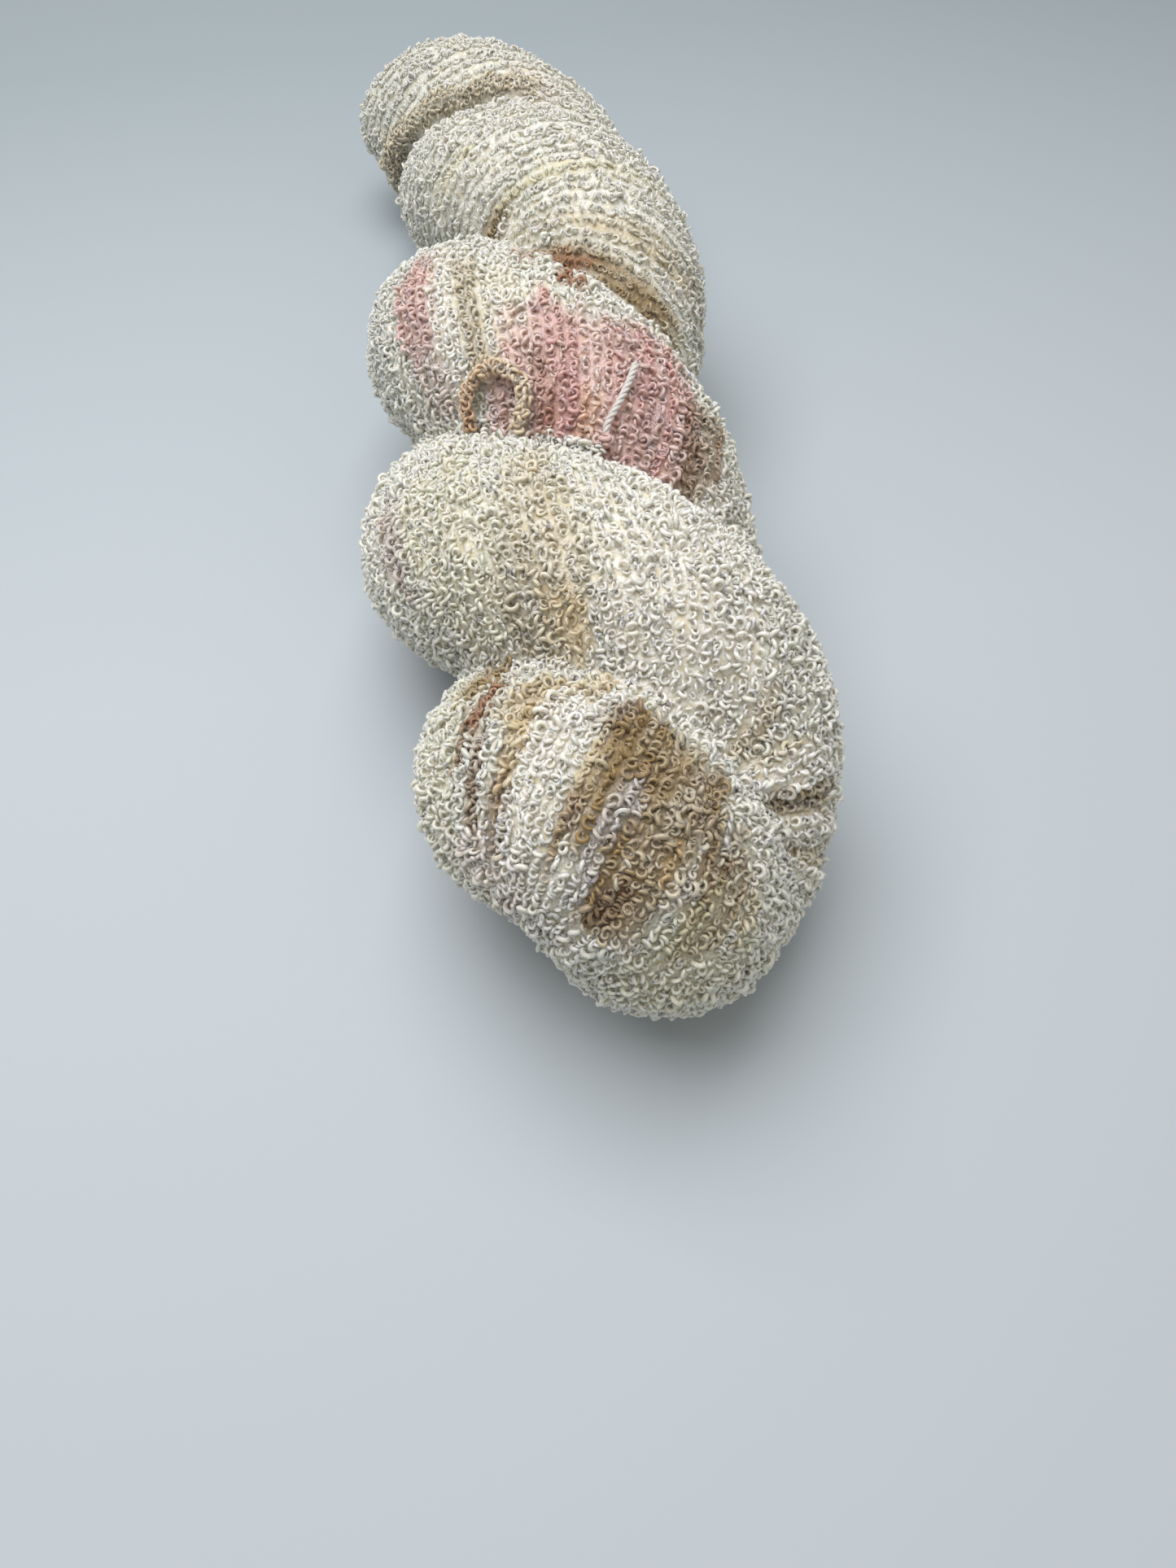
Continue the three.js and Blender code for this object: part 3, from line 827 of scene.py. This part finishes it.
def collarStops():
    line = smoothRoute(collar["route"], collar["steps"])
    along, side, up = carriedAxes(line)
    rings, around = np.arange(0, collar["steps"], collar["every"]), collar["around"]
    at = np.repeat(rings, around)
    turn = np.tile(np.arange(around) * 2 * math.pi / around, len(rings)) + at * collar["twist"]
    out = side[at] * np.cos(turn)[:, None] + up[at] * np.sin(turn)[:, None]
    stops = line[at] + out * collar["radius"]
    keep = []
    for i, point in enumerate(stops):
        _, normal, _, distance = softSkin.find_nearest(Vector(point))
        keep.append(distance < collar["away"] and np.dot(normal, out[i]) > collar["facing"])
    keep = np.array(keep)
    return stops[keep], out[keep], along[at][keep]


# The tie comes out from under the yarn, so curls lie over and beside its first half, by so many mm.
tuck = {"until": 44, "every": 3, "over": 1.3, "beside": 1.1}


def tuckStops():
    line = smoothRoute(tieEnd["route"], tieEnd["steps"])[:tuck["until"]:tuck["every"]]
    run = unit(np.gradient(line, axis=0))
    toEye = unit(eye - line)
    sides = (-tuck["beside"], 0.0, tuck["beside"])
    stops = np.vstack([line + toEye * tuck["over"] + np.cross(run, toEye) * side for side in sides])
    tints = np.array([stopColours[near.find(stop)[1]] for stop in stops])
    return stops, np.tile(toEye, (len(sides), 1)), np.tile(run, (len(sides), 1)), tints


collarPoints, collarOut, collarAlong = collarStops()
collarColours = np.tile(np.array(linear(collar["dye"])[:3]), (len(collarPoints), 1))
collarColours *= chance.uniform(*collar["brightness"], (len(collarPoints), 1))
tuckPoints, tuckOut, tuckAlong, tuckColours = tuckStops()
firstPoints = np.vstack([tuckPoints, collarPoints])
tryPoints = np.vstack([firstPoints, points])
tryOut = np.vstack([tuckOut, collarOut, normals])
tryAlong = np.vstack([tuckAlong, collarAlong, heading])
tryColours = np.vstack([tuckColours, collarColours, stopColours])

steps = stepAt(tryPoints, tryOut)
between = np.concatenate([np.zeros(len(firstPoints), bool), ~chosen])
gaps = np.maximum(curlField["least"], np.where(between, curlField["fill"], curlField["apart"]) * steps)
cellSize = 3.0  # mm
nextCells = [(dx, dy, dz) for dx in (-1, 0, 1) for dy in (-1, 0, 1) for dz in (-1, 0, 1)]
cells, kept = {}, []


def isCrowded(cell, point, gap):
    for dx, dy, dz in nextCells:
        for other in cells.get((cell[0] + dx, cell[1] + dy, cell[2] + dz), ()):
            gone = tryPoints[other] - point
            if gone @ gone < gap * gap:
                return True
    return False


# The curls of the tie and the collar find room first, then those on the rows, then those between.
mixed = chance.permutation(len(tryPoints))
order = mixed[np.argsort(between[mixed] * 2 + (mixed >= len(firstPoints)), kind="stable")]
for i in order:
    cell = tuple((tryPoints[i] // cellSize).astype(int))
    if not isCrowded(cell, tryPoints[i], gaps[i]):
        cells.setdefault(cell, []).append(i)
        kept.append(i)
kept = np.array(kept)
print("curls:", len(kept))

steps = steps[kept]
radii = curlField["radius"] * np.exp(chance.normal(0, curlField["radiusSpread"], len(kept)))
radii = np.clip(radii, *curlField["radiusEnds"])
radii *= np.interp(steps, curlField["wideGaps"], curlField["wideSizes"])
tilts = np.radians(chance.choice(curlField["tilts"], len(kept), p=curlField["tiltShares"])
                   + chance.uniform(-curlField["tiltSpread"], curlField["tiltSpread"], len(kept)))
tilts *= np.interp(steps, curlField["flatGaps"], curlField["flatTilts"])
centres, outs = np.empty((len(kept), 3)), np.empty((len(kept), 3))
for n, i in enumerate(kept):
    above, inwards = Vector(tryPoints[i] + 2 * tryOut[i]), Vector(-tryOut[i])
    # straight down, up to 5 mm below the stop, which is past the bottom of every crease
    spot, normal, _, _ = laidSkin.ray_cast(above, inwards, 7)
    if spot is None:
        spot, normal, _, _ = laidSkin.find_nearest(Vector(tryPoints[i]))
    centres[n], outs[n] = (tryPoints[i], tryOut[i]) if i < len(tuckPoints) else (spot, normal)
lifts = (curlField["lift"] + curlField["tiltLift"] * radii * np.sin(np.abs(tilts))
         + chance.uniform(*curlField["liftSpread"], len(kept)))
centres += (kept >= len(tuckPoints))[:, None] * outs * lifts[:, None]
alongs = unit(tryAlong[kept] - outs * np.sum(tryAlong[kept] * outs, axis=1, keepdims=True))
shades = tryColours[kept] * chance.uniform(*curlField["brightness"], (len(kept), 1))
shades *= 1 + chance.normal(0, curlField["hueSpread"], (len(kept), 3))

paintedWarmShade = np.array(curlField["paintedWarmShade"])
number, allTriangles = 0, 0
for models, mine in ((curlModels, steps < curlField["plain"]), (plainModels, steps >= curlField["plain"])):
    mine = np.flatnonzero(mine)
    mine = mine[np.argsort(tryPoints[kept[mine]][:, 1])]
    perCurl = len(models[0]["corners"]) - 2 * len(models[0]["starts"])  # triangles
    for group in np.array_split(mine, math.ceil(len(mine) * perCurl / curlField["pieceSize"])):
        number += 1
        (placed, corners, starts, uvs), owner = placeCurls(
            centres[group], alongs[group], outs[group], radii[group], tilts[group], models)
        under = np.minimum(placed[:, 2] - curlField["squeezed"], 0)
        low = curlField["clear"] + (curlField["squeezed"] - curlField["clear"]) * np.exp(under / 0.5)
        placed[:, 2] = np.where(under < 0, low, placed[:, 2])
        tint = np.ones((len(placed), 4))
        tint[:, :3] = shades[group][owner]
        # painted shade: each curl's dye is darkened and warmed towards its low side
        depth = np.sum((placed - centres[group][owner]) * outs[group][owner], axis=1) / radii[group][owner]
        lit = np.interp(depth, curlField["shadeDepths"], (0, 1))[:, None]
        tint[:, :3] *= paintedWarmShade + (1 - paintedWarmShade) * lit
        piece = meshPiece(f"curls{number}", placed, corners, starts, uvs, viscose, np.clip(tint, 0, 1))
        allTriangles += len(corners) - 2 * len(starts)
print("curls are placed in", number, "pieces, in all", allTriangles, "triangles")


room = {"floor": "#b5bdc3", "farFloorPaintedShade": "#a0abb1", "sky": "#f0efe8", "skyStrength": 0.33}

deselectAll()
bpy.ops.mesh.primitive_plane_add(size=6, location=(0, 0, 0))
floor = bpy.context.object
floor.name = "floor"
paper, tree = newMaterial("matt paper backdrop")
at = addNode(tree, "ShaderNodeTexCoord")
grain = addNode(tree, "ShaderNodeTexNoise", {"Scale": 900.0, "Detail": 2.0}, {"Vector": at.outputs["Object"]})
bump = addNode(tree, "ShaderNodeBump", {"Strength": 0.04, "Distance": 0.0002},
               {"Height": grain.outputs["Fac"]})
# painted shade: the floor darkens towards the back, where less light falls on it
apart = addNode(tree, "ShaderNodeSeparateXYZ", links={"Vector": at.outputs["Object"]})
away = addNode(tree, "ShaderNodeMapRange", {"From Min": -0.05, "From Max": 0.25},
               {"Value": apart.outputs["Y"]})
shade = addNode(tree, "ShaderNodeValToRGB", links={"Fac": away.outputs["Result"]})
shade.color_ramp.elements[0].color = linear(room["floor"])
shade.color_ramp.elements[1].color = linear(room["farFloorPaintedShade"])
surface = addNode(tree, "ShaderNodeBsdfPrincipled", {"Roughness": 0.75},
                  {"Base Color": shade.outputs["Color"], "Normal": bump.outputs["Normal"]})
addNode(tree, "ShaderNodeOutputMaterial", links={"Surface": surface.outputs["BSDF"]})
floor.data.materials.append(paper)

lightsAim = (0, -0.02, 0.03)
lights = {  # places in metres, power in watts
    "skylight": {"place": (-0.12, 0.03, 0.66), "size": 0.6, "power": 5.5, "colour": "#fdfdff"},
    "room": {"place": (0.35, -0.6, 0.7), "size": 0.8, "power": 1.0, "colour": "#fffaf2"},
}
for name, light in lights.items():
    deselectAll()
    toMiddle = Vector(lightsAim) - Vector(light["place"])
    bpy.ops.object.light_add(type="AREA", location=light["place"],
                             rotation=toMiddle.to_track_quat("-Z", "Y").to_euler())
    lamp = bpy.context.object
    lamp.name = name
    lamp.data.size, lamp.data.energy = light["size"], light["power"]
    lamp.data.color = linear(light["colour"])[:3]

sky = bpy.data.worlds.new("pale room")
bpy.context.scene.world = sky
sky.use_nodes = True
skyInputs = sky.node_tree.nodes["Background"].inputs
skyInputs["Color"].default_value = linear(room["sky"])
skyInputs["Strength"].default_value = room["skyStrength"]
bpy.context.scene.view_settings.view_transform = "Standard"
print("room is lit")
